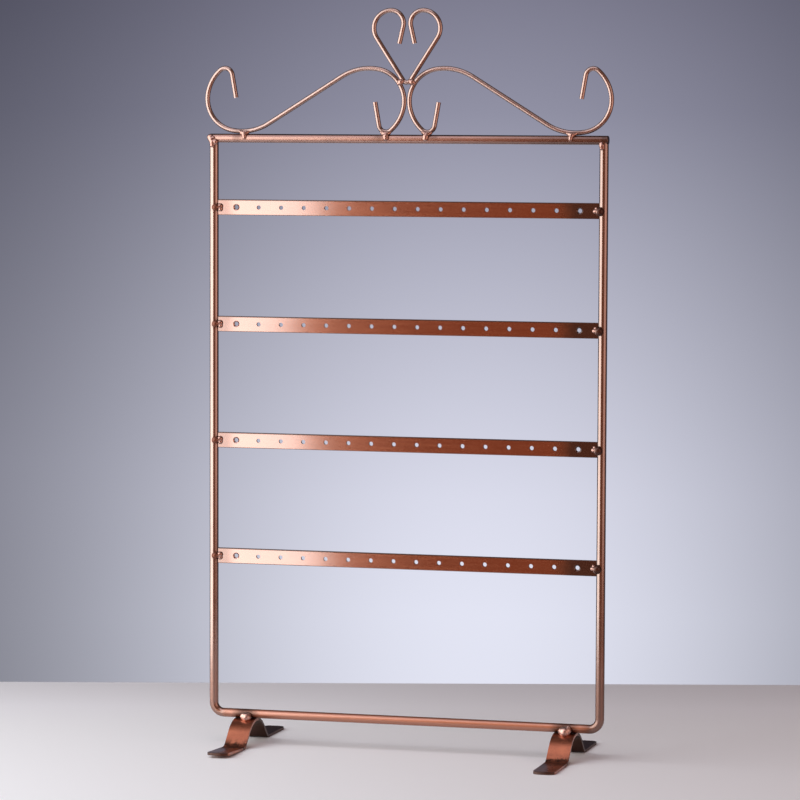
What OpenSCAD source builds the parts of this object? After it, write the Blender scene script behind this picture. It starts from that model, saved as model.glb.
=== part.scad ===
// Earring display stand: a bent round-rod hoop with a straight top rail, four drilled
// flat strips, two S-scrolls and a heart of bent wire on top, and two bent-strip feet.
// The stand faces -Y. The origin lies on the floor, midway between the feet.

/* [Frame] */
// Distance between the centre lines of the uprights
frame_w = 250; // [200:1:400]
// Distance between the centre lines of the bottom rail and the top rail
frame_h = 363.2; // [320:0.1:480]
// Diameter of the round rod of the hoop and the top rail
rod_d = 5.6; // [4:0.1:8]
// Centre-line radius of the hoop's two bottom corners
corner_r = 6.5; // [5:0.1:20]
// Bevel on the sawn ends of the top rail
rail_bevel = 0.4; // [0.1:0.1:1]

/* [Strips] */
// Height of a drilled strip
strip_h = 9.8; // [7:0.1:16]
// Thickness of a drilled strip
strip_t = 1.6; // [1:0.1:2.5]
// Radius on the long edges of a strip
strip_edge_r = 0.4; // [0.1:0.05:0.45]
// Distance from the top rail down to the middle of the first strip
first_drop = 43.2; // [30:0.1:60]
// Distance between the middles of neighbouring strips
strip_pitch = 73.3; // [50:0.1:80]

/* [Holes] */
// Diameter of an earring hole
hole_d = 2.7; // [1.5:0.1:4]
// Distance between neighbouring holes
hole_pitch = 14.7; // [8:0.1:25]
// Least distance from a strip's end to its first hole
hole_margin = 10; // [6:0.5:20]
// Diameter of the countersink on the first and the last hole
sink_d = 4.2; // [4.1:0.1:6]
// Depth of that countersink
sink_depth = 0.6; // [0.2:0.1:0.8]

/* [Scrolls] */
// Diameter of the wire of the scrolls and the heart
wire_d = 3; // [2:0.1:4]
// Height of a scroll over its wire
scroll_h = 42.3; // [34:0.1:60]
// How far a scroll stands out past the end of the top rail
scroll_reach = 3.1; // [0:0.1:10]
// Gap between the two scrolls at the middle
scroll_gap = 0.3; // [0.2:0.1:6]
// Length of straight wire on each side of a scroll's middle
middle_len = 27.7; // [15:0.1:40]
// Slope at which the belly, where a scroll rests, turns into the shoulder, in degrees
belly_slope = 10; // [0:1:25]
// How much larger the bend radius of the shoulder is than half the wire's rise
shoulder_bulge = 0.35; // [0:0.05:3]
// Slope at which the shoulder turns into the flank, in degrees
shoulder_slope = 100; // [90:1:120]
// Bend radius of a scroll between its wide side and its curl
flank_r = 25; // [20:0.5:35]
// Bend radius of the tight curl
curl_r = 4.7; // [3:0.1:7]
// Length of the straight hook at each end of a scroll
hook_len = 14.8; // [5:0.1:20]
// Lean of that hook away from upright, in degrees
hook_lean = 10; // [0:1:20]

/* [Heart] */
// Slope of the heart's limbs, in degrees
limb_slope = 57; // [50:1:65]
// Bend radius at the heart's point
vee_r = 3; // [2.5:0.1:6]
// Bend radius of a lobe's outer side
lobe_r = 11; // [8:0.1:16]
// Bend radius of a lobe's inner side
eye_r = 8; // [5:0.1:12]
// Gap between the two lobes at the heart's mouth
mouth_gap = 1.4; // [0.4:0.1:8]
// Length of the straight hook at each end of the heart
heart_hook_len = 11; // [4:0.1:16]
// Lean of that hook away from upright, in degrees
heart_hook_lean = 13; // [0:1:25]

/* [Feet] */
// Distance from the centre line of an upright to the middle of a foot
foot_inset = 21.5; // [12:0.5:60]
// Width of the foot's flat strip
foot_w = 14; // [10:0.1:24]
// Thickness of the foot's flat strip
foot_t = 1.6; // [1.2:0.1:3]
// Length of a foot from toe to toe
foot_len = 124; // [100:1:180]
// Height of the top of a foot's arch
foot_rise = 16.1; // [13:0.1:24]
// Centre-line bend radius of the arch
arch_r = 22; // [14:0.5:26]
// Slope of a foot's legs, in degrees
leg_slope = 43; // [38:1:60]
// Centre-line bend radius of the front heels
front_heel_r = 8; // [3:0.1:9]
// Centre-line bend radius of the back heels
back_heel_r = 4; // [2.5:0.1:5]
// Corner radius of the toes
toe_r = 4.5; // [1:0.1:5]
// Upward slope of the left foot's front toe, in degrees
toe_slope = 3; // [0:0.5:10]

/* [Welds] */
// Gap between neighbouring pieces where they are seated on each other
seat_gap = 0.1; // [0.05:0.01:0.2]
// Diameter of the bead at the end of a strip
strip_weld_d = 5.2; // [4:0.1:7]
// Diameter of the larger lobe of the bead under a scroll
scroll_weld_d = 4.6; // [3.6:0.1:6]
// Distance from a scroll's lowest point to its outer bead
scroll_weld_inset = 2; // [0:0.1:4]
// Diameter of the bead between the heart and a scroll
heart_weld_d = 4.2; // [3.4:0.1:5.5]
// Diameter of the bead between a foot and the bottom rail
foot_weld_d = 7; // [5.5:0.1:9]
// Diameter of the bead on the front of the joint between the top rail and an upright
corner_weld_d = 5.4; // [3.6:0.1:6.5]

/* [Hidden] */

left = -1;
right = 1;
rod_r = rod_d / 2;
wire_r = wire_d / 2;
through = 1;

// Heights of the two rails, and of each strip's middle
bottom_rail_z = foot_rise + seat_gap + rod_r;
top_rail_z = bottom_rail_z + frame_h;
function strip_z(n) = top_rail_z - first_drop - (n - 1) * strip_pitch;

// A strip reaches from upright to upright, and its row of holes is centred on it
upright_x = frame_w / 2;
strip_len = frame_w - rod_d - 2 * seat_gap;
hole_count = floor((strip_len - 2 * hole_margin) / hole_pitch) + 1;
row_len = (hole_count - 1) * hole_pitch;

// A scroll is half a curve and the same half turned by 180 degrees about its middle.
// The half starts at the middle, runs straight down to the belly, and bends up round
// the shoulder and the flank into the curl, whose top is level with the other half's
// shoulder.
scroll_in_x = wire_r + scroll_gap / 2;
scroll_out_x = upright_x + rod_r + scroll_reach - wire_r;
scroll_x = (scroll_out_x + scroll_in_x) / 2;
half_span = (scroll_out_x - scroll_in_x) / 2;
half_rise = (scroll_h - wire_d) / 2;
scroll_z = top_rail_z + rod_r + seat_gap + wire_r + half_rise;

// The shoulder follows from the scroll's height. The belly's bend is the one that the
// middle straight just touches, which is a quadratic in its radius: belly_base is the
// belly's place if it had no radius, and belly_power is that point's power over the
// straight.
shoulder_r = half_rise + shoulder_bulge;
belly_base = half_span - shoulder_r * (1 - sin(belly_slope));
belly_power = belly_base ^ 2 + half_rise ^ 2 - middle_len ^ 2;
belly_half = belly_base * sin(belly_slope) + half_rise;
belly_root = sqrt(belly_half ^ 2 - sin(belly_slope) ^ 2 * belly_power);
belly_r = belly_power / (belly_half + belly_root);

// The belly's lowest point, measured from the scroll's middle, and the slope of the
// middle straight
belly_x = belly_base - belly_r * sin(belly_slope);
middle_slope = atan2(belly_r - half_rise, belly_x) - atan2(belly_r, middle_len);

// Bend centres, measured from the belly's lowest point. An arc's centre lies on the
// line through the last arc's centre and the point where the one turns into the other.
function toward(heading) = [sin(heading), -cos(heading)];
belly_c = [0, belly_r];
shoulder_c = belly_c + (belly_r - shoulder_r) * toward(belly_slope);
flank_c = shoulder_c + (shoulder_r - flank_r) * toward(shoulder_slope);
flank_end = acos((flank_c.y + curl_r - 2 * half_rise) / (flank_r - curl_r));
curl_c = flank_c + (flank_r - curl_r) * toward(flank_end);

scroll_bends = [
    [middle_len, belly_r, belly_slope - middle_slope],
    [0, shoulder_r, shoulder_slope - belly_slope],
    [0, flank_r, flank_end - shoulder_slope],
    [0, curl_r, 270 - hook_lean - flank_end],
    [hook_len, 0, 0]
];

// The heart is two mirrored halves that meet at its point. Its limbs lie on the
// shoulders of the scrolls, a wire's width away from the scrolls' centre lines.
lobe_x = wire_r + mouth_gap / 2 + eye_r;
limb_len = (lobe_x + (lobe_r - vee_r) * sin(limb_slope)) / cos(limb_slope);
cradle = [
    scroll_x - belly_x - shoulder_c.x,
    scroll_z + half_rise - shoulder_c.y
];
cradle_r = shoulder_r + wire_d + seat_gap;
limb_foot_z = cradle.y + (cradle_r - cradle.x * sin(limb_slope)) / cos(limb_slope);
heart_z = limb_foot_z + vee_r * (1 / cos(limb_slope) - 1);

heart_bends = [
    [0, vee_r, limb_slope],
    [limb_len, lobe_r, 180 - limb_slope],
    [0, eye_r, 90 + heart_hook_lean],
    [heart_hook_len, 0, 0]
];

// A scroll is welded to the rail under its belly and under its inner curl
outer_weld_x = scroll_x + belly_x - scroll_weld_inset;
inner_weld_x = scroll_x - belly_x - curl_c.x;

// The middle of a foot. Each half of it, from the crest of its arch to its toe, follows
// from the bend radius of its heel.
foot_x = upright_x - foot_inset;
function leg_drop(heel_r) = foot_rise - foot_t - (arch_r + heel_r) * (1 - cos(leg_slope));
function leg_len(heel_r) = leg_drop(heel_r) / sin(leg_slope);
function leg_reach(heel_r) = leg_drop(heel_r) / tan(leg_slope);
function heel_y(heel_r) = (arch_r + heel_r) * sin(leg_slope) + leg_reach(heel_r);
function toe_len(heel_r) = foot_len / 2 - heel_y(heel_r);

// Where the middle of a bead lies, as a share of the rod's or the wire's radius: how far
// it stands in front of the stand's middle plane (y), and how far above or below a rod's
// middle (z). The drip is the lower lobe of a scroll's bead, a share of its size.
scroll_bead_y_share = 0.6;
scroll_drip_y_share = 0.7;
scroll_drip_z_share = 0.45;
scroll_drip_share = 0.8;
heart_bead_y_share = 0.5;
foot_bead_z_share = 0.3;
corner_bead_y_share = 0.9;
corner_bead_z_share = 1.05;

// Circle and cylinder smoothness for the preview
$fn = 48;

// Length of the sleeves that close the joints of a bent rod, and their share of its size
sleeve_len = 0.2;
sleeve_share = 1.003;

// A rod, wire or strip bent as on a jig: each step is a straight length, then a bend
// of a centre-line radius by an angle, to the left where the angle is positive. It
// starts at the origin and heads along +X, and its section is the child. Where it is
// joined to something at its start, a sleeve closes that joint too.
module bent(steps, joined = true, i = 0) {
    if (i < len(steps)) {
        straight = steps[i][0];
        r = steps[i][1];
        turn = steps[i][2];
        side = turn < 0 ? -1 : 1;
        if (joined)
            sleeve()
                children();
        if (straight > 0)
            rotate([90, 0, 90])
                linear_extrude(straight)
                    children();
        translate([straight, 0, 0]) {
            if (straight > 0 && turn != 0)
                sleeve()
                    children();
            if (turn != 0)
                translate([0, side * r, 0])
                    rotate([0, 0, turn < 0 ? 90 + turn : -90])
                        rotate_extrude(angle = abs(turn))
                            translate([r, 0])
                                children();
            translate([0, side * r, 0])
                rotate([0, 0, turn])
                    translate([0, -side * r, 0])
                        bent(steps, true, i + 1)
                            children();
        }
    }
}

// A short length of the section, a few thousandths of a millimetre proud, laid over the
// joint between a straight and a bend so that the two run into each other
module sleeve() {
    rotate([90, 0, 90])
        linear_extrude(sleeve_len, center = true)
            scale(sleeve_share)
                children();
}

// Stands a flat drawing upright, so that its Y becomes Z and its front faces -Y
module upright() {
    rotate([90, 0, 0])
        children();
}

// Puts what is drawn for the right side on the side asked for
module on_side(side) {
    mirror([side < 0 ? 1 : 0, 0, 0])
        children();
}

// A straight round rod along X, centred on the origin
module rod_along_x(d, length) {
    rotate([0, 90, 0])
        cylinder(d = d, h = length, center = true);
}

// A flat bar's section with rounded corners, centred on the origin
module bar_section(w, h, r) {
    square([w, h - 2 * r], center = true);
    square([w - 2 * r, h], center = true);
    for (x = [-1, 1], y = [-1, 1])
        translate([x * (w / 2 - r), y * (h / 2 - r)])
            circle(r);
}

// The hoop's centre line is a U: down one side, along the bottom and up the other
module hoop_rod(d) {
    side_len = frame_h - corner_r;
    translate([-upright_x, 0, top_rail_z])
        upright()
            rotate([0, 0, -90])
                bent([
                    [side_len, corner_r, 90],
                    [frame_w - 2 * corner_r, corner_r, 90],
                    [side_len, 0, 0]
                ], joined = false)
                    circle(d = d);
}

module top_rail_rod(d) {
    translate([0, 0, top_rail_z])
        rod_along_x(d, frame_w + rod_d);
}

module strip_bar(n, grow = 0, reach = 0) {
    translate([-strip_len / 2 - reach, 0, strip_z(n)])
        rotate([90, 0, 90])
            linear_extrude(strip_len + 2 * reach)
                bar_section(strip_t + 2 * grow, strip_h + 2 * grow, strip_edge_r);
}

module scroll_wire(side, d) {
    on_side(side)
        translate([scroll_x, 0, scroll_z])
            upright()
                for (half = [0, 180])
                    rotate([0, 0, half + middle_slope])
                        bent(scroll_bends)
                            circle(d = d);
}

module heart_wire(d) {
    translate([0, 0, heart_z])
        upright()
            for (side = [0, 1])
                mirror([side, 0, 0])
                    bent(heart_bends)
                        circle(d = d);
}

// Half of a foot's bent strip, from the crest of its arch towards -Y, before its outline
// is cut, so it is wider than the foot
module foot_half(heel_r, rise, grow) {
    rotate([90, 0, -90])
        bent([
            [0, arch_r, -leg_slope],
            [leg_len(heel_r), heel_r, leg_slope + rise],
            [toe_len(heel_r), 0, 0]
        ])
            square([foot_t + 2 * grow, foot_w + 2 * through], center = true);
}

module foot_strip(side, grow = 0) {
    translate([side * foot_x, 0, foot_rise - foot_t / 2]) {
        foot_half(front_heel_r, side < 0 ? toe_slope : 0, grow);
        mirror([0, 1, 0])
            foot_half(back_heel_r, 0, grow);
    }
}

// Outline of a foot seen from above, with its rounded toes
module foot_plan(side) {
    translate([side * foot_x, 0, -through])
        linear_extrude(foot_rise + 2 * through)
            bar_section(foot_w, foot_len, toe_r);
}

module frame_hoop() {
    color("#b5694b")
        difference() {
            hoop_rod(rod_d);
            top_rail_rod(rod_d + 2 * seat_gap);
        }
}

module top_rail() {
    plain_len = frame_w + rod_d - 2 * rail_bevel;
    color("#c07a5b")
        translate([0, 0, top_rail_z]) {
            rod_along_x(rod_d, plain_len);
            for (end = [-90, 90])
                rotate([0, end, 0])
                    translate([0, 0, plain_len / 2])
                        cylinder(d1 = rod_d, d2 = rod_d - 2 * rail_bevel, h = rail_bevel);
        }
}

module strip(n) {
    color("#a6522f")
        difference() {
            strip_bar(n);
            for (i = [0 : hole_count - 1])
                translate([i * hole_pitch - row_len / 2, 0, strip_z(n)])
                    upright() {
                        cylinder(d = hole_d, h = strip_t + 2 * through, center = true);
                        if (i == 0 || i == hole_count - 1)
                            translate([0, 0, strip_t / 2 - sink_depth])
                                countersink();
                    }
        }
}

// The cutter runs on past the face at the same slope, so that its rim is sink_d wide
module countersink() {
    growth = (sink_d - hole_d) / sink_depth;
    cylinder(d1 = hole_d, d2 = sink_d + growth * through, h = sink_depth + through);
}

module scroll(side) {
    color("#d09074")
        scroll_wire(side, wire_d);
}

module heart() {
    color("#cf8a6c")
        heart_wire(wire_d);
}

module foot(side) {
    color("#a3604a")
        intersection() {
            foot_strip(side);
            foot_plan(side);
        }
}

// A bead in the front corner between an upright and the end of a strip
module strip_weld(n, side) {
    color("#7d4433")
        on_side(side)
            difference() {
                translate([upright_x - rod_r, (strip_t - strip_weld_d) / 2, strip_z(n)])
                    sphere(d = strip_weld_d);
                hoop_rod(rod_d + 2 * seat_gap);
                strip_bar(n, seat_gap, rod_r);
            }
}

// A bead of two lobes that runs from the scroll's wire down the front of the top rail
module scroll_weld(side, x) {
    drip_y = -scroll_drip_y_share * rod_r;
    drip_z = top_rail_z + scroll_drip_z_share * rod_r;
    color("#c98a70")
        on_side(side)
            difference() {
                union() {
                    translate([x, -scroll_bead_y_share * wire_r, top_rail_z + rod_r])
                        sphere(d = scroll_weld_d);
                    translate([x, drip_y, drip_z])
                        sphere(d = scroll_drip_share * scroll_weld_d);
                }
                top_rail_rod(rod_d + 2 * seat_gap);
                scroll_wire(right, wire_d + 2 * seat_gap);
            }
}

// A bead in front of the place where the heart's limb lies on a scroll
module heart_weld(side) {
    reach = shoulder_r + wire_r;
    color("#c98a70")
        on_side(side)
            difference() {
                translate([
                    cradle.x - reach * sin(limb_slope),
                    -heart_bead_y_share * wire_r,
                    cradle.y + reach * cos(limb_slope)
                ])
                    sphere(d = heart_weld_d);
                heart_wire(wire_d + 2 * seat_gap);
                scroll_wire(right, wire_d + 2 * seat_gap);
            }
}

// A bead in the front corner between the bottom rail and the crest of a foot
module foot_weld(side) {
    color("#d8a187")
        on_side(side)
            difference() {
                translate([foot_x, -rod_r, foot_rise + foot_bead_z_share * rod_r])
                    sphere(d = foot_weld_d);
                hoop_rod(rod_d + 2 * seat_gap);
                foot_strip(right, seat_gap);
                translate([foot_x, 0, foot_rise - foot_t - foot_weld_d / 2])
                    cube([2 * foot_weld_d, 4 * foot_weld_d, foot_weld_d], center = true);
            }
}

// A bead on the front of the joint between an upright and the top rail
module corner_weld(side) {
    bead_y = -corner_bead_y_share * rod_r;
    bead_z = top_rail_z - corner_bead_z_share * rod_r;
    color("#9a5642")
        on_side(side)
            difference() {
                translate([upright_x, bead_y, bead_z])
                    sphere(d = corner_weld_d);
                hoop_rod(rod_d + 2 * seat_gap);
                top_rail_rod(rod_d + 2 * seat_gap);
            }
}

frame_hoop();
top_rail();
strip(1);  // strip_1
strip(2);  // strip_2
strip(3);  // strip_3
strip(4);  // strip_4
scroll(left);  // scroll_left
scroll(right);  // scroll_right
heart();
foot(left);  // foot_left
foot(right);  // foot_right
corner_weld(left);  // corner_weld_left
corner_weld(right);  // corner_weld_right
strip_weld(1, left);  // strip_1_weld_left
strip_weld(1, right);  // strip_1_weld_right
strip_weld(2, left);  // strip_2_weld_left
strip_weld(2, right);  // strip_2_weld_right
strip_weld(3, left);  // strip_3_weld_left
strip_weld(3, right);  // strip_3_weld_right
strip_weld(4, left);  // strip_4_weld_left
strip_weld(4, right);  // strip_4_weld_right
scroll_weld(left, outer_weld_x);  // scroll_left_outer_weld
scroll_weld(left, inner_weld_x);  // scroll_left_inner_weld
scroll_weld(right, outer_weld_x);  // scroll_right_outer_weld
scroll_weld(right, inner_weld_x);  // scroll_right_inner_weld
heart_weld(left);  // heart_weld_left
heart_weld(right);  // heart_weld_right
foot_weld(left);  // foot_weld_left
foot_weld(right);  // foot_weld_right
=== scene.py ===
"""Antique copper earring stand: metal finishes, weld beads, studio and camera."""
import math

import bpy
from mathutils import Matrix, Vector


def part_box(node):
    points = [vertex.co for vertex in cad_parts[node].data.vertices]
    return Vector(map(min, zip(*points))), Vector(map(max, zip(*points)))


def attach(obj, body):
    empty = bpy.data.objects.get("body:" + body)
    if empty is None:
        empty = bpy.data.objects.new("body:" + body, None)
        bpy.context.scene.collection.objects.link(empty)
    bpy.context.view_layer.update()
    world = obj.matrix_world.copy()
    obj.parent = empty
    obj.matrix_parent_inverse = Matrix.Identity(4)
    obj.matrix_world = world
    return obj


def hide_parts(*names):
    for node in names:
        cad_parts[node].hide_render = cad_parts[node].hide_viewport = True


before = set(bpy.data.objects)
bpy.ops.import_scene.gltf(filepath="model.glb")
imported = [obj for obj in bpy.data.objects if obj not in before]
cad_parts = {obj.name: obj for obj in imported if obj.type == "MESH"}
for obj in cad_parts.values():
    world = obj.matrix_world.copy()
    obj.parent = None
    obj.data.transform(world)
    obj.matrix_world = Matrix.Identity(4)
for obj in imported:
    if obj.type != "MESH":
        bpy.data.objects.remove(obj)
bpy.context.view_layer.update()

MM = 1000  # millimetres in a metre

# Places on the stand, in metres
UPRIGHT_X = 0.125
UPRIGHT_INNER_X = 0.1195
FOOT_X = 0.1035
FOOT_CREST_Z = 0.0161
SCROLL_WELD_X = (0.0175, 0.1091)
HEART_WELD = (0.0085, 0, 0.4225)
STRIP_HEIGHTS = (0.339, 0.2657, 0.1924, 0.1191)
STRIP_PITCH = 0.0733
STRIP_HALF = 0.0049

STRIPS = ("strip_1", "strip_2", "strip_3", "strip_4")
SCROLLS = ("scroll_left", "scroll_right")
SCROLL_WELDS = ("scroll_left_outer_weld", "scroll_left_inner_weld",
                "scroll_right_outer_weld", "scroll_right_inner_weld")
FEET = ("foot_left", "foot_right")
SIDES = {"left": -1, "right": 1}

# The camera stands right of the middle and a little above, as in the photograph
CAMERA_AZIMUTH = math.radians(15.18)
CAMERA_ELEVATION = math.radians(4.27)
CAMERA_ROLL = math.radians(0.23)
CAMERA_DISTANCE = 2.4
CAMERA_TARGET = Vector((-0.0036, 0.0, 0.2202))
CAMERA_LENS = 173.5
CAMERA_SENSOR = 36.0
CAMERA_REACH = (0.05, 50)


def deselect_all():
    bpy.ops.object.select_all(action="DESELECT")


def apply_place():
    bpy.ops.object.transform_apply(location=True, rotation=True, scale=True)


# Small helpers for shader nodes. A value is a socket or a plain number.

def new_material(name):
    material = bpy.data.materials.new(name)
    material.use_nodes = True
    tree = material.node_tree
    shader = tree.nodes["Principled BSDF"]
    return material, tree, shader


def math_node(tree, operation, first, second=None):
    node = tree.nodes.new("ShaderNodeMath")
    node.operation = operation
    for socket, value in zip(node.inputs, (first, second)):
        if value is None:
            continue
        if isinstance(value, (int, float)):
            socket.default_value = value
        else:
            tree.links.new(value, socket)
    return node.outputs["Value"]


def plus(tree, first, second):
    return math_node(tree, "ADD", first, second)


def minus(tree, first, second):
    return math_node(tree, "SUBTRACT", first, second)


def both(tree, first, second):
    return math_node(tree, "MULTIPLY", first, second)


def either(tree, first, second):
    return math_node(tree, "MAXIMUM", first, second)


def off_middle(tree, x):
    """How far a place lies from the stand's middle plane, on either side."""
    return math_node(tree, "ABSOLUTE", x)


def deepest(tree, *marks):
    """The deepest of several marks. Each is where it lies, from 0 to 1, and its depth."""
    deep = None
    for where, depth in marks:
        mark = both(tree, where, depth)
        deep = mark if deep is None else either(tree, deep, mark)
    return deep


def fade(tree, value, start, end):
    """Runs smoothly from 0 where the value is start to 1 where it is end."""
    node = tree.nodes.new("ShaderNodeMapRange")
    node.interpolation_type = "SMOOTHSTEP"
    node.inputs["From Min"].default_value = start
    node.inputs["From Max"].default_value = end
    tree.links.new(value, node.inputs["Value"])
    return node.outputs["Result"]


def split(tree, vector):
    node = tree.nodes.new("ShaderNodeSeparateXYZ")
    tree.links.new(vector, node.inputs["Vector"])
    return node.outputs["X"], node.outputs["Y"], node.outputs["Z"]


def along(tree, vector, axis):
    """How far a vector reaches along an axis."""
    node = tree.nodes.new("ShaderNodeVectorMath")
    node.operation = "DOT_PRODUCT"
    node.inputs[1].default_value = axis
    tree.links.new(vector, node.inputs[0])
    return node.outputs["Value"]


def noise(tree, place, scale, detail, roughness=0.55, stretch=(1, 1, 1)):
    """A noise pattern over the object's own coordinates, in metres."""
    mapping = tree.nodes.new("ShaderNodeMapping")
    mapping.inputs["Scale"].default_value = stretch
    tree.links.new(place, mapping.inputs["Vector"])
    node = tree.nodes.new("ShaderNodeTexNoise")
    node.inputs["Scale"].default_value = scale
    node.inputs["Detail"].default_value = detail
    node.inputs["Roughness"].default_value = roughness
    tree.links.new(mapping.outputs["Vector"], node.inputs["Vector"])
    return node.outputs["Fac"]


def ramp(tree, source, stops):
    """Turns a factor into colours: stops are (place, colour)."""
    node = tree.nodes.new("ShaderNodeValToRGB")
    elements = node.color_ramp.elements
    while len(elements) < len(stops):
        elements.new(0.5)
    for element, (place, colour) in zip(elements, stops):
        element.position = place
        element.color = colour
    tree.links.new(source, node.inputs["Fac"])
    return node.outputs["Color"]


def mix(tree, share, first, second):
    """Blends two colours, each a socket or a plain colour."""
    node = tree.nodes.new("ShaderNodeMix")
    node.data_type = "RGBA"
    tree.links.new(share, node.inputs["Factor"])
    for socket, value in ((node.inputs["A"], first), (node.inputs["B"], second)):
        if isinstance(value, tuple):
            socket.default_value = value
        else:
            tree.links.new(value, socket)
    return node.outputs["Result"]


def grey(value):
    return (value, value, value, 1.0)


def bump(tree, shader, height):
    """Raises the surface, and the film on it, by a height in metres."""
    node = tree.nodes.new("ShaderNodeBump")
    node.inputs["Strength"].default_value = 1.0
    node.inputs["Distance"].default_value = 1.0
    tree.links.new(height, node.inputs["Height"])
    tree.links.new(node.outputs["Normal"], shader.inputs["Normal"])
    tree.links.new(node.outputs["Normal"], shader.inputs["Coat Normal"])


WELD_EDGE_SCALE = 400
WELD_EDGE_WANDER = 0.004


def near(tree, place, points, inner, outer):
    """1 close to any of some points on the right or their mirror images, fading to 0 over
    an uneven edge."""
    x, y, z = split(tree, place)
    folded = tree.nodes.new("ShaderNodeCombineXYZ")
    tree.links.new(off_middle(tree, x), folded.inputs["X"])
    tree.links.new(y, folded.inputs["Y"])
    tree.links.new(z, folded.inputs["Z"])
    closest = None
    for point in points:
        gap = tree.nodes.new("ShaderNodeVectorMath")
        gap.operation = "DISTANCE"
        gap.inputs[1].default_value = point
        tree.links.new(folded.outputs["Vector"], gap.inputs[0])
        distance = gap.outputs["Value"]
        closest = distance if closest is None else math_node(tree, "MINIMUM", closest, distance)
    wander = both(tree, noise(tree, place, WELD_EDGE_SCALE, detail=3), WELD_EDGE_WANDER)
    return fade(tree, plus(tree, closest, wander), outer, inner)


# Finishes. All are one antique copper plating under a clear film, rubbed bright to a
# different degree and burnt where the torch has been; some dark marks are painted shade, one
# bright one a painted sheen.

# The colour of the burns, and also of the painted shade that the burn masks lay down
BURN_AND_SHADE = (0.050, 0.024, 0.017, 1)
FILM_IOR = 2.6
FILM_BURNT_OFF = 0.85
GRAIN_SCALE = 700
MARKS_SCALE = 900
MARKS_STRETCH = 0.03
CLOUD_SHARE = 0.75
CLOUD_RANGE = (0.36, 0.60)
GRAIN_RANGE = (0.35, 0.68)
WAVE_SCALE = 28


def copper(name, bright, dark, rough, film, film_rough, marks=None, clouds=60,
           grain_depth=0.0000012, wave=0.0, bow=None, burn_and_shade=None, burn_and_shade_colour=BURN_AND_SHADE, burnt_rough=0.5,
           dull_and_sheen=None, dull_and_sheen_colour=None, dull_rough=0.30, dull_film=0.35):
    """The plating, clouded between its bright and its dark colour. marks is the pattern of
    fine drawing or rolling marks; without marks the grain is even. The burn mask gives the share
    that is burnt or darkened as painted shade, the dull mask the share that was left duller or
    lightened as a painted sheen. wave is how far, in metres, the surface swells and sinks over a
    few centimetres, bow a height of its own."""
    material, tree, shader = new_material(name)
    place = tree.nodes.new("ShaderNodeTexCoord").outputs["Object"]
    shader.inputs["Metallic"].default_value = 1.0
    shader.inputs["Coat Weight"].default_value = film
    shader.inputs["Coat Roughness"].default_value = film_rough
    shader.inputs["Coat IOR"].default_value = FILM_IOR
    grain = marks(tree, place) if marks else noise(tree, place, GRAIN_SCALE, detail=3)
    clouding = plus(tree, both(tree, noise(tree, place, clouds, detail=5), CLOUD_SHARE),
                    both(tree, grain, 1 - CLOUD_SHARE))
    colour = ramp(tree, clouding, list(zip(CLOUD_RANGE, (dark, bright))))
    gloss = ramp(tree, grain, list(zip(GRAIN_RANGE, map(grey, rough))))
    # Duller stretches, and the painted sheen on the front toes, take their own colour and gloss
    if dull_and_sheen:
        share = dull_and_sheen(tree, place)
        colour = mix(tree, share, colour, dull_and_sheen_colour)
        gloss = mix(tree, share, gloss, grey(dull_rough))
        film = plus(tree, both(tree, share, dull_film - film), film)
    # Burnt patches and painted shade take the burnt colour and lose most of the film
    if burn_and_shade:
        share = burn_and_shade(tree, place)
        colour = mix(tree, share, colour, burn_and_shade_colour)
        gloss = mix(tree, both(tree, share, 0.6), gloss, grey(burnt_rough))
        film = both(tree, plus(tree, both(tree, share, -FILM_BURNT_OFF), 1.0), film)
    if dull_and_sheen or burn_and_shade:
        tree.links.new(film, shader.inputs["Coat Weight"])
    tree.links.new(colour, shader.inputs["Base Color"])
    tree.links.new(gloss, shader.inputs["Roughness"])
    height = both(tree, grain, grain_depth)
    if wave:
        height = plus(tree, height, both(tree, noise(tree, place, WAVE_SCALE, detail=1), wave))
    if bow:
        height = plus(tree, height, bow(tree, place))
    bump(tree, shader, height)
    return material


def level_marks(tree, place):
    return noise(tree, place, MARKS_SCALE, detail=3, stretch=(MARKS_STRETCH, 1, 1))


def rod_marks(tree, place):
    """Drawing marks that run along the rod: upright in the sides, level in the rail."""
    x, _, _ = split(tree, place)
    side = math_node(tree, "GREATER_THAN", off_middle(tree, x), UPRIGHT_INNER_X)
    upright = noise(tree, place, MARKS_SCALE, detail=3, stretch=(1, 1, MARKS_STRETCH))
    return mix(tree, side, level_marks(tree, place), upright)


def hoop_burn_and_shade(tree, place):
    """Burns round the strips' welds and at the top corners, burn with painted shade under and
    beside the feet's welds, and painted shade on the right side and low down on both sides."""
    strip_welds = near(tree, place, [(0.1222, -0.002, z) for z in STRIP_HEIGHTS], 0.0035, 0.0065)
    # Burn under the feet's welds, with painted shade in the recesses beside each bead
    foot_weld_burn_and_shade = near(tree, place, [(FOOT_X, -0.001, 0.0165)], 0.0060, 0.0135)
    corners = near(tree, place, [(UPRIGHT_X, -0.001, 0.3785)], 0.0020, 0.0055)
    x, _, z = split(tree, place)
    uprights = fade(tree, off_middle(tree, x), 0.110, 0.120)
    on_right = math_node(tree, "GREATER_THAN", x, 0.0)
    # Painted shade: the right upright and the lowest stretch of both uprights are darkened, the
    # right more than the left
    low_shade_depth = plus(tree, both(tree, on_right, 0.30), 0.20)
    painted_shade = deepest(tree, (fade(tree, z, 0.090, 0.035), low_shade_depth), (on_right, 0.24))
    return deepest(tree, (strip_welds, 0.75), (corners, 0.75), (foot_weld_burn_and_shade, 0.85),
                   (uprights, painted_shade))


def bottom_rail(tree, place):
    """The bottom rail and, fading out, the first stretch of the uprights."""
    x, _, z = split(tree, place)
    rail = fade(tree, off_middle(tree, x), 0.1215, 0.1165)
    return deepest(tree, (rail, 1.0), (fade(tree, z, 0.080, 0.030), 0.5))


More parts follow.
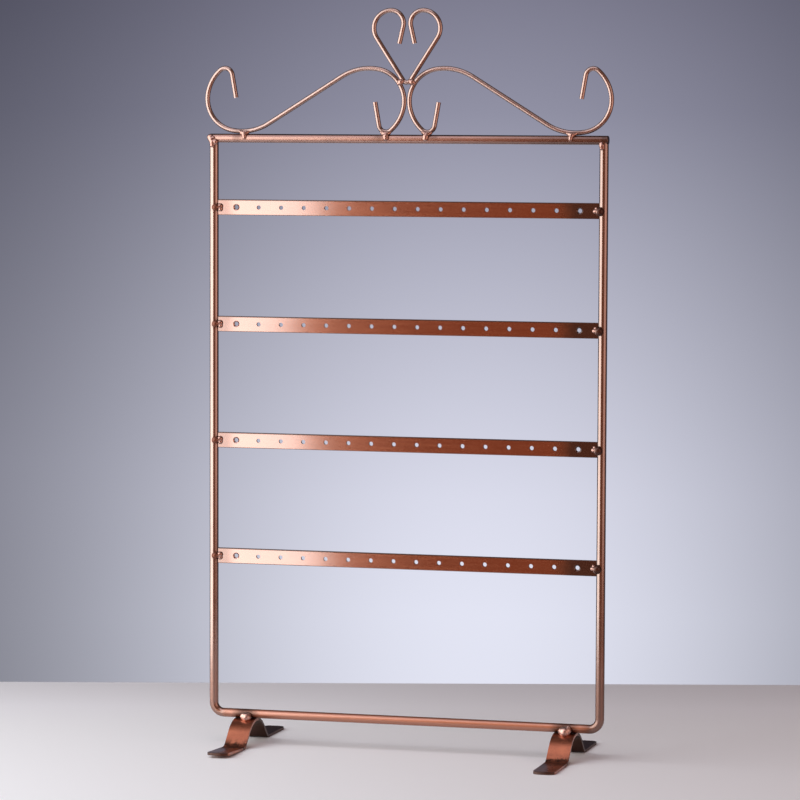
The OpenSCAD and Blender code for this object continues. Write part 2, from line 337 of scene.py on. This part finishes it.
def rail_burn_and_shade(tree, place):
    """Burns round the scrolls' welds and at the right end; painted shade along the top and a
    painted shade that deepens to the right."""
    welds = near(tree, place, [(x, -0.002, 0.3845) for x in SCROLL_WELD_X], 0.0030, 0.0075)
    x, _, z = split(tree, place)
    # Painted shade: a darkening that deepens to the right, away from the key lamp
    wander = both(tree, noise(tree, place, 50, detail=4), 0.06)
    painted_shade_to_right = fade(tree, plus(tree, x, wander), 0.02, 0.16)
    right_end = fade(tree, x, 0.1212, 0.1245)
    # Painted shade along the top of the rail
    top = fade(tree, z, 0.3838, 0.3845)
    return deepest(tree, (welds, 0.55), (painted_shade_to_right, 0.75), (right_end, 0.90), (top, 0.90))


def strip_burn_and_shade(tree, place):
    """The last stretch before each weld, more of it on the right, and painted shade on the two
    long edges.
    """
    x, _, z = split(tree, place)
    level = math_node(tree, "WRAP", minus(tree, z, STRIP_HEIGHTS[-1]), STRIP_PITCH / 2)
    level.node.inputs[2].default_value = -STRIP_PITCH / 2
    # Painted shade on the two long edges, deeper on the upper one
    painted_upper_edge_shade = fade(tree, level, STRIP_HALF - 0.0009, STRIP_HALF - 0.0005)
    painted_lower_edge_shade = fade(tree, level, -STRIP_HALF + 0.0006, -STRIP_HALF + 0.0002)
    wander = both(tree, noise(tree, place, 120, detail=4), 0.012)
    right_end = fade(tree, plus(tree, x, wander), 0.097, 0.114)
    left_end = fade(tree, plus(tree, x, both(tree, wander, -0.5)), -0.1120, -0.1205)
    return deepest(tree, (painted_upper_edge_shade, 0.95), (painted_lower_edge_shade, 0.55), (right_end, 0.92),
                   (left_end, 0.38))


# How far each strip, from the top one down, leans out for every metre to the right
STRIP_SLOPES = (-0.0015, -0.0130, -0.0035, 0.0050)
SLOPE_GAIN = 40
HEIGHT_GAIN = 2.0


def strip_bow(tree, place):
    """Each strip is turned by a hair, each its own way: a slope along x for every height.
    A curve node holds the slopes. The gains bring them, and the heights, into its square."""
    x, _, z = split(tree, place)
    slopes = tree.nodes.new("ShaderNodeFloatCurve")
    points = slopes.mapping.curves[0].points
    stops = [(z_of_strip * HEIGHT_GAIN, slope)
             for z_of_strip, slope in zip(reversed(STRIP_HEIGHTS), reversed(STRIP_SLOPES))]
    stops = [(0.0, STRIP_SLOPES[-1])] + stops + [(1.0, STRIP_SLOPES[0])]
    while len(points) < len(stops):
        points.new(0.5, 0.5)
    for point, (level, slope) in zip(points, stops):
        point.location = (level, 0.5 + slope * SLOPE_GAIN)
        point.handle_type = "VECTOR"
    slopes.mapping.update()
    tree.links.new(both(tree, z, HEIGHT_GAIN), slopes.inputs["Value"])
    slope = both(tree, minus(tree, slopes.outputs["Value"], 0.5), 1 / SLOPE_GAIN)
    return both(tree, slope, x)


def wire_burn(tree, place):
    """A faint darkening near the welds."""
    points = [(x, 0, 0.3855) for x in SCROLL_WELD_X] + [HEART_WELD]
    return both(tree, near(tree, place, points, 0.0030, 0.0085), 0.45)


def foot_burn_and_shade(tree, place):
    """Burn with a painted shadow on the crest under the weld, the band of the front heel, darker
    at the tip, and painted shade over the whole back half.
    """
    _, y, _ = split(tree, place)
    crest_points = [(FOOT_X + across, -0.001, FOOT_CREST_Z) for across in (-0.005, 0, 0.005)]
    # Burn, with a painted shadow round the weld's bead, on the crest
    crest_burn_and_shadow = near(tree, place, crest_points, 0.0032, 0.0066)
    # Painted shade: the whole back half is darkened, standing in for the shaded underside of the
    # back leg
    back = fade(tree, y, -0.001, 0.006)
    tip = fade(tree, y, -0.0585, -0.0600)
    patches = fade(tree, noise(tree, place, 330, detail=4, roughness=0.7), 0.44, 0.56)
    patch_depth = plus(tree, both(tree, patches, 0.70), 0.20)
    heel = both(tree, fade(tree, y, -0.0190, -0.0235), fade(tree, y, -0.040, -0.031))
    return deepest(tree, (crest_burn_and_shadow, 0.506), (back, 0.92), (tip, 0.92), (heel, patch_depth))


def toe_sheen_and_wear(tree, place):
    """The front toes: a painted sheen on their left halves, where the light falls, and faint
    rubbed patches on the right."""
    x, y, _ = split(tree, place)
    patches = noise(tree, place, 120, detail=4)
    across = minus(tree, x, both(tree, math_node(tree, "SIGN", x), FOOT_X))
    # Painted sheen on the left half of each front toe
    painted_left_sheen = fade(tree, plus(tree, across, both(tree, patches, 0.008)), 0.0065, 0.0015)
    sheen_and_rubbing = deepest(tree, (painted_left_sheen, 1.0), (fade(tree, patches, 0.42, 0.58), 0.2))
    return both(tree, fade(tree, y, -0.029, -0.037), sheen_and_rubbing)


def ball_burn(tree, place):
    """The ball on the upright, not the puddle beside it on the strip."""
    x, _, _ = split(tree, place)
    return fade(tree, off_middle(tree, x), 0.1214, 0.1221)


rod_copper = copper(
    "rod_copper", bright=(0.25, 0.130, 0.088, 1), dark=(0.20, 0.100, 0.067, 1),
    rough=(0.19, 0.25), film=0.9, film_rough=0.16, marks=rod_marks, grain_depth=0.0000006,
    burn_and_shade=hoop_burn_and_shade, dull_and_sheen=bottom_rail, dull_and_sheen_colour=(0.41, 0.163, 0.094, 1), dull_rough=0.48)
rail_copper = copper(
    "rail_copper", bright=(0.32, 0.134, 0.081, 1), dark=(0.255, 0.100, 0.059, 1),
    rough=(0.25, 0.31), film=0.70, film_rough=0.22, marks=level_marks, grain_depth=0.0000006,
    burn_and_shade=rail_burn_and_shade)
strip_copper = copper(
    "strip_copper", bright=(0.31, 0.110, 0.058, 1), dark=(0.27, 0.094, 0.048, 1),
    rough=(0.18, 0.23), film=1.0, film_rough=0.10, marks=level_marks, grain_depth=0.0000004,
    wave=0.00003, bow=strip_bow, burn_and_shade=strip_burn_and_shade)
wire_copper = copper(
    "wire_copper", bright=(0.27, 0.137, 0.098, 1), dark=(0.235, 0.115, 0.081, 1),
    rough=(0.30, 0.35), film=0.94, film_rough=0.27, grain_depth=0.0000004, burn_and_shade=wire_burn)
# The foot's dull colour is the painted sheen on the front toes
foot_copper = copper(
    "foot_copper", bright=(0.44, 0.138, 0.063, 1), dark=(0.32, 0.092, 0.043, 1),
    rough=(0.28, 0.38), film=0.14, film_rough=0.3, clouds=110, burn_and_shade=foot_burn_and_shade,
    dull_and_sheen=toe_sheen_and_wear, dull_and_sheen_colour=(0.56, 0.25, 0.17, 1), dull_rough=0.15, dull_film=1.0)
bright_bead = copper(
    "bright_bead", bright=(0.40, 0.20, 0.145, 1), dark=(0.28, 0.12, 0.08, 1),
    rough=(0.28, 0.36), film=0.6, film_rough=0.26, clouds=260, grain_depth=0.000003)
pink_bead = copper(
    "pink_bead", bright=(0.52, 0.30, 0.24, 1), dark=(0.38, 0.19, 0.14, 1),
    rough=(0.34, 0.42), film=0.6, film_rough=0.34, clouds=260, grain_depth=0.000003)
strip_beads = {
    side: copper(
        "strip_bead_" + side, bright=(0.42, 0.20, 0.14, 1), dark=(0.33, 0.14, 0.09, 1),
        rough=(0.22, 0.30), film=0.7, film_rough=0.2, clouds=260, burn_and_shade=ball_burn,
        burn_and_shade_colour=burn_and_shade_colour, burnt_rough=burnt_rough)
    for side, burn_and_shade_colour, burnt_rough in (("left", (0.20, 0.068, 0.038, 1), 0.9),
                                     ("right", (0.070, 0.024, 0.014, 1), 0.8))}


def dress(node, material):
    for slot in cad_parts[node].material_slots:
        slot.material = material


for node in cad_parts:
    if node in STRIPS:
        dress(node, strip_copper)
    elif node in SCROLLS or node == "heart":
        dress(node, wire_copper)
    elif node in FEET:
        dress(node, foot_copper)
    elif node == "top_rail":
        dress(node, rail_copper)
    elif node == "frame_hoop":
        dress(node, rod_copper)
    else:
        dress(node, bright_bead)


# Weld beads. Each is made of lumps, and a lump is the place of its middle and its radius,
# in millimetres.

BEAD_VOXEL = 0.00020
BEAD_SMOOTHING = 14
SWELL_SIZE = 0.0024


def melted_bead(name, material, lumps, swell=0.00009):
    """A puddle of weld metal: lumps melted into one skin, uneven where it has cooled."""
    deselect_all()
    parts = []
    for place, radius in lumps:
        bpy.ops.mesh.primitive_ico_sphere_add(subdivisions=3, radius=radius / MM,
                                              location=[value / MM for value in place])
        parts.append(bpy.context.object)
    for part in parts:
        part.select_set(True)
    bpy.context.view_layer.objects.active = parts[0]
    bpy.ops.object.join()
    bead = bpy.context.object
    bead.name = name
    apply_place()

    melt = bead.modifiers.new("melt", "REMESH")
    melt.mode = "VOXEL"
    melt.voxel_size = BEAD_VOXEL
    flow = bead.modifiers.new("flow", "SMOOTH")
    flow.factor = 0.5
    flow.iterations = BEAD_SMOOTHING
    clouds = bpy.data.textures.new(name + "_swell", "CLOUDS")
    clouds.noise_scale = SWELL_SIZE
    uneven = bead.modifiers.new("uneven", "DISPLACE")
    uneven.texture = clouds
    uneven.texture_coords = "LOCAL"
    uneven.mid_level = 0.5
    uneven.strength = 2 * swell
    for modifier in ("melt", "flow", "uneven"):
        bpy.ops.object.modifier_apply(modifier=modifier)
    bpy.ops.object.shade_smooth()
    bead.data.materials.clear()
    bead.data.materials.append(material)
    return bead


def raised_copy(bead, name, rise):
    """The same bead again, higher or lower, with a mesh of its own."""
    deselect_all()
    bead.select_set(True)
    bpy.context.view_layer.objects.active = bead
    bpy.ops.object.duplicate()
    twin = bpy.context.object
    twin.name = name
    twin.location.z += rise
    apply_place()
    return twin


def stand_in(bead, node):
    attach(bead, "root")
    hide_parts(node)


def middle_of(node):
    """The middle of a CAD node's box, in millimetres."""
    low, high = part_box(node)
    return [(start + end) / 2 * MM for start, end in zip(low, high)]


def on_side(side, lumps):
    """Lumps given for the right, put on the side asked for."""
    return [((SIDES[side] * x, y, z), radius) for (x, y, z), radius in lumps]


def make_strip_beads():
    """A round ball in each corner of strip and upright, with a spatter beside it. The
    lumps' heights are counted from the middle of the strip."""
    shapes = {
        "left": [((123.5, -3.0, -0.1), 2.15), ((120.9, -1.2, 0.6), 1.9),
                 ((120.6, -1.1, -1.3), 1.5)],
        "right": [((123.3, -3.1, -0.3), 2.85), ((120.0, -1.9, -0.2), 1.45),
                  ((120.6, -1.3, 1.5), 1.0)],
    }
    top = STRIP_HEIGHTS[0]
    for side, lumps in shapes.items():
        lifted = [((x, y, z + top * MM), radius) for (x, y, z), radius in lumps]
        first = melted_bead("strip_1_bead_" + side, strip_beads[side], on_side(side, lifted))
        beads = [first]
        for n, height in enumerate(STRIP_HEIGHTS[1:], 2):
            beads.append(raised_copy(first, "strip_%d_bead_%s" % (n, side), height - top))
        for n, bead in enumerate(beads, 1):
            stand_in(bead, "strip_%d_weld_%s" % (n, side))


def make_scroll_beads():
    """A saddle under the wire that runs down to a drip on the front of the rail."""
    for node in SCROLL_WELDS:
        x = middle_of(node)[0]
        lean = 0.4 if "left" in node else -0.35
        drip = 1.8 if "inner" in node else 1.35
        lumps = [((x - 2.5, -1.0, 386.2), 1.15), ((x + 2.5, -1.0, 386.2), 1.15),
                 ((x - 1.3, -1.5, 385.7), 1.55), ((x + 1.3, -1.5, 385.7), 1.55),
                 ((x, -1.9, 385.2), 1.85), ((x + lean, -2.6, 383.9), drip + 0.25),
                 ((x + 1.4 * lean, -3.0, 382.7), drip)]
        stand_in(melted_bead(node.replace("weld", "bead"), bright_bead, lumps), node)


def make_heart_beads():
    """A lump in front of each place where the heart lies on a scroll."""
    for side, sign in SIDES.items():
        node = "heart_weld_" + side
        x, _, z = middle_of(node)
        x = sign * x
        lumps = [((x, -1.3, z), 2.0), ((x + 1.2, -1.1, z - 0.8), 1.45),
                 ((x - 1.1, -1.1, z + 0.7), 1.4)]
        stand_in(melted_bead("heart_bead_" + side, bright_bead, on_side(side, lumps)), node)


def make_foot_beads():
    """A fat bright lump on the crest of each foot, against the front of the rail."""
    shapes = {
        "left": [((102.2, -4.3, 17.0), 3.2), ((103.7, -4.0, 17.4), 2.7),
                 ((101.6, -3.9, 18.2), 2.3)],
        "right": [((103.8, -4.5, 16.9), 3.6), ((105.2, -4.0, 17.9), 2.8),
                  ((102.4, -4.2, 17.4), 2.8), ((105.9, -3.7, 19.6), 1.6)],
    }
    for side, lumps in shapes.items():
        bead = melted_bead("foot_bead_" + side, pink_bead, on_side(side, lumps), swell=0.00016)
        stand_in(bead, "foot_weld_" + side)


def make_corner_beads():
    """A lump on the front of each top corner; the left one has run up onto the rail's end."""
    shapes = {
        "left": [((125.3, -2.9, 379.6), 1.95), ((125.4, -2.9, 378.0), 1.7),
                 ((123.5, -2.7, 379.9), 1.9), ((126.2, -2.5, 381.4), 2.0),
                 ((126.9, -1.9, 382.7), 2.2), ((124.9, -2.3, 381.9), 1.7)],
        "right": [((124.2, -2.9, 378.9), 1.9), ((124.3, -2.9, 377.6), 1.6),
                  ((123.9, -2.9, 379.9), 1.5)],
    }
    for side, lumps in shapes.items():
        bead = melted_bead("corner_bead_" + side, bright_bead, on_side(side, lumps))
        stand_in(bead, "corner_weld_" + side)


make_strip_beads()
make_scroll_beads()
make_heart_beads()
make_foot_beads()
make_corner_beads()


# Studio: a table top whose edges lie square to the camera, and a backdrop that glows
# behind the stand

TABLE_BACK = 0.285
TABLE_FRONT = -0.35
TABLE_HALF_WIDTH = 0.42
TABLE_ROUGHNESS = 0.55
GLOW_AZIMUTH = CAMERA_AZIMUTH - math.radians(1.2)
GLOW_SPREAD = math.radians(5.8)
WARM_AZIMUTH = math.radians(12)
WARM_SPREAD = math.radians(9)
ROOM_RISE = 0.25  # how steeply up or down the room's colours are laid out
UP = (0, 0, 1)


def level_axes(azimuth):
    """The level directions to the right and ahead of someone who looks along an azimuth."""
    return ((math.cos(azimuth), math.sin(azimuth), 0),
            (-math.sin(azimuth), math.cos(azimuth), 0))


def bell(tree, distance, spread):
    """1 where the distance is 0, falling off on both sides over the spread."""
    fall = both(tree, both(tree, distance, distance), -1 / spread ** 2)
    return math_node(tree, "EXPONENT", fall)


def make_table():
    deselect_all()
    middle = (TABLE_BACK + TABLE_FRONT) / 2
    bpy.ops.mesh.primitive_plane_add(size=1.0, location=(0, middle, 0))
    table = bpy.context.object
    table.name = "table_top"
    table.scale = (2 * TABLE_HALF_WIDTH, TABLE_BACK - TABLE_FRONT, 1)
    apply_place()
    table.rotation_euler.z = CAMERA_AZIMUTH
    apply_place()

    material, tree, shader = new_material("table_paint")
    place = tree.nodes.new("ShaderNodeTexCoord").outputs["Object"]
    depth = along(tree, place, level_axes(CAMERA_AZIMUTH)[1])
    clouds = both(tree, noise(tree, place, 6, detail=3), 0.06)
    # Painted falloff of light: the table's paint darkens towards the back
    painted_falloff_tone = ramp(tree, plus(tree, fade(tree, depth, 0.30, 0.06), clouds), [
        (0.0, (0.728, 0.760, 0.815, 1)), (0.55, (0.822, 0.860, 0.918, 1)),
        (1.0, (0.838, 0.880, 0.925, 1))])
    tree.links.new(painted_falloff_tone, shader.inputs["Base Color"])
    shader.inputs["Roughness"].default_value = TABLE_ROUGHNESS
    table.data.materials.append(material)


def make_world():
    """A dim warm room in front, a dim cool one behind, and a glow on the backdrop. From
    behind, the camera sees a plain grey wall instead of the warm room that the metal mirrors."""
    world = bpy.data.worlds.new("studio_room")
    bpy.context.scene.world = world
    world.use_nodes = True
    tree = world.node_tree
    background = tree.nodes["Background"]
    direction = tree.nodes.new("ShaderNodeTexCoord").outputs["Generated"]
    seen = tree.nodes.new("ShaderNodeLightPath").outputs["Is Camera Ray"]
    climb = along(tree, direction, UP)
    beside_glow, ahead = (along(tree, direction, axis) for axis in level_axes(GLOW_AZIMUTH))
    beside_lamp = along(tree, direction, level_axes(-WARM_AZIMUTH)[0])

    range_node = tree.nodes.new("ShaderNodeMapRange")
    range_node.inputs["From Min"].default_value = -ROOM_RISE
    range_node.inputs["From Max"].default_value = ROOM_RISE
    tree.links.new(climb, range_node.inputs["Value"])
    height = range_node.outputs["Result"]
    glow = ramp(tree, height, [
        (0.0, (0.72, 0.735, 0.83, 1)), (0.24, (0.765, 0.78, 0.90, 1)),
        (0.30, (0.70, 0.71, 0.83, 1)), (0.50, (0.283, 0.283, 0.372, 1)),
        (0.57, (0.195, 0.192, 0.262, 1)), (0.8, (0.06, 0.06, 0.08, 1))])
    back_room = ramp(tree, height, [
        (0.0, (0.11, 0.11, 0.13, 1)), (0.21, (0.115, 0.115, 0.145, 1)),
        (0.32, (0.135, 0.135, 0.175, 1)), (0.57, (0.052, 0.052, 0.078, 1)),
        (0.8, (0.05, 0.05, 0.065, 1))])
    front_room = ramp(tree, height, [
        (0.0, (0.34, 0.140, 0.090, 1)), (0.6, (0.34, 0.140, 0.090, 1)),
        (1.0, (0.16, 0.08, 0.055, 1))])

    warmth = bell(tree, beside_lamp, WARM_SPREAD)
    front_room = mix(tree, warmth, front_room, (0.38, 0.100, 0.042, 1))
    front_room = mix(tree, seen, front_room, (0.40, 0.40, 0.46, 1))
    lit_above = both(tree, fade(tree, climb, 0.25, 0.60), minus(tree, 1.0, seen))
    back_room = mix(tree, lit_above, back_room, (0.13, 0.12, 0.12, 1))
    room = mix(tree, fade(tree, ahead, -0.3, 0.5), front_room, back_room)
    backdrop = both(tree, bell(tree, beside_glow, GLOW_SPREAD),
                    math_node(tree, "GREATER_THAN", ahead, 0.0))
    tree.links.new(mix(tree, backdrop, room, glow), background.inputs["Color"])
    background.inputs["Strength"].default_value = 1.0


def softbox(name, middle, aim, width, height, radiance, colour):
    """A rectangular lamp that looks at a point. Its power follows from how bright it looks."""
    lamp = bpy.data.lights.new(name, "AREA")
    lamp.shape = "RECTANGLE"
    lamp.size = width
    lamp.size_y = height
    lamp.energy = radiance * math.pi * width * height
    lamp.color = colour
    holder = bpy.data.objects.new(name, lamp)
    bpy.context.scene.collection.objects.link(holder)
    holder.location = middle
    holder.rotation_euler = (Vector(aim) - Vector(middle)).to_track_quat("-Z", "Y").to_euler()
    holder.visible_camera = False


def make_camera():
    right, ahead = level_axes(CAMERA_AZIMUTH)
    reach, rise = math.cos(CAMERA_ELEVATION), math.sin(CAMERA_ELEVATION)
    back = Vector((-ahead[0] * reach, -ahead[1] * reach, rise))
    right = Vector(right)
    up = back.cross(right)
    rolled_right = right * math.cos(CAMERA_ROLL) + up * math.sin(CAMERA_ROLL)
    rolled_up = up * math.cos(CAMERA_ROLL) - right * math.sin(CAMERA_ROLL)
    lens = bpy.data.cameras.new("camera")
    lens.lens = CAMERA_LENS
    lens.sensor_width = CAMERA_SENSOR
    lens.clip_start, lens.clip_end = CAMERA_REACH
    camera = bpy.data.objects.new("camera", lens)
    bpy.context.scene.collection.objects.link(camera)
    turn = Matrix((rolled_right, rolled_up, back)).transposed().to_4x4()
    place = Matrix.Translation(CAMERA_TARGET + back * CAMERA_DISTANCE)
    camera.matrix_world = place @ turn
    bpy.context.scene.camera = camera


make_table()
make_world()
softbox("key_softbox", middle=(-0.629, -0.411, 0.42), aim=(0.0, 0.0, 0.39),
        width=1.15, height=1.0, radiance=3.1, colour=(1.0, 1.0, 0.97))
softbox("fill_panel", middle=(0.93, -0.40, 0.45), aim=(0.125, 0.0, 0.35),
        width=0.86, height=0.9, radiance=1.0, colour=(1.10, 0.76, 0.66))
softbox("overhead_panel", middle=(-0.45, -0.75, 1.45), aim=(-0.45, -0.749, 0.0),
        width=1.6, height=1.5, radiance=1.2, colour=(0.99, 1.00, 1.12))
make_camera()

bpy.context.scene.view_settings.view_transform = "Standard"
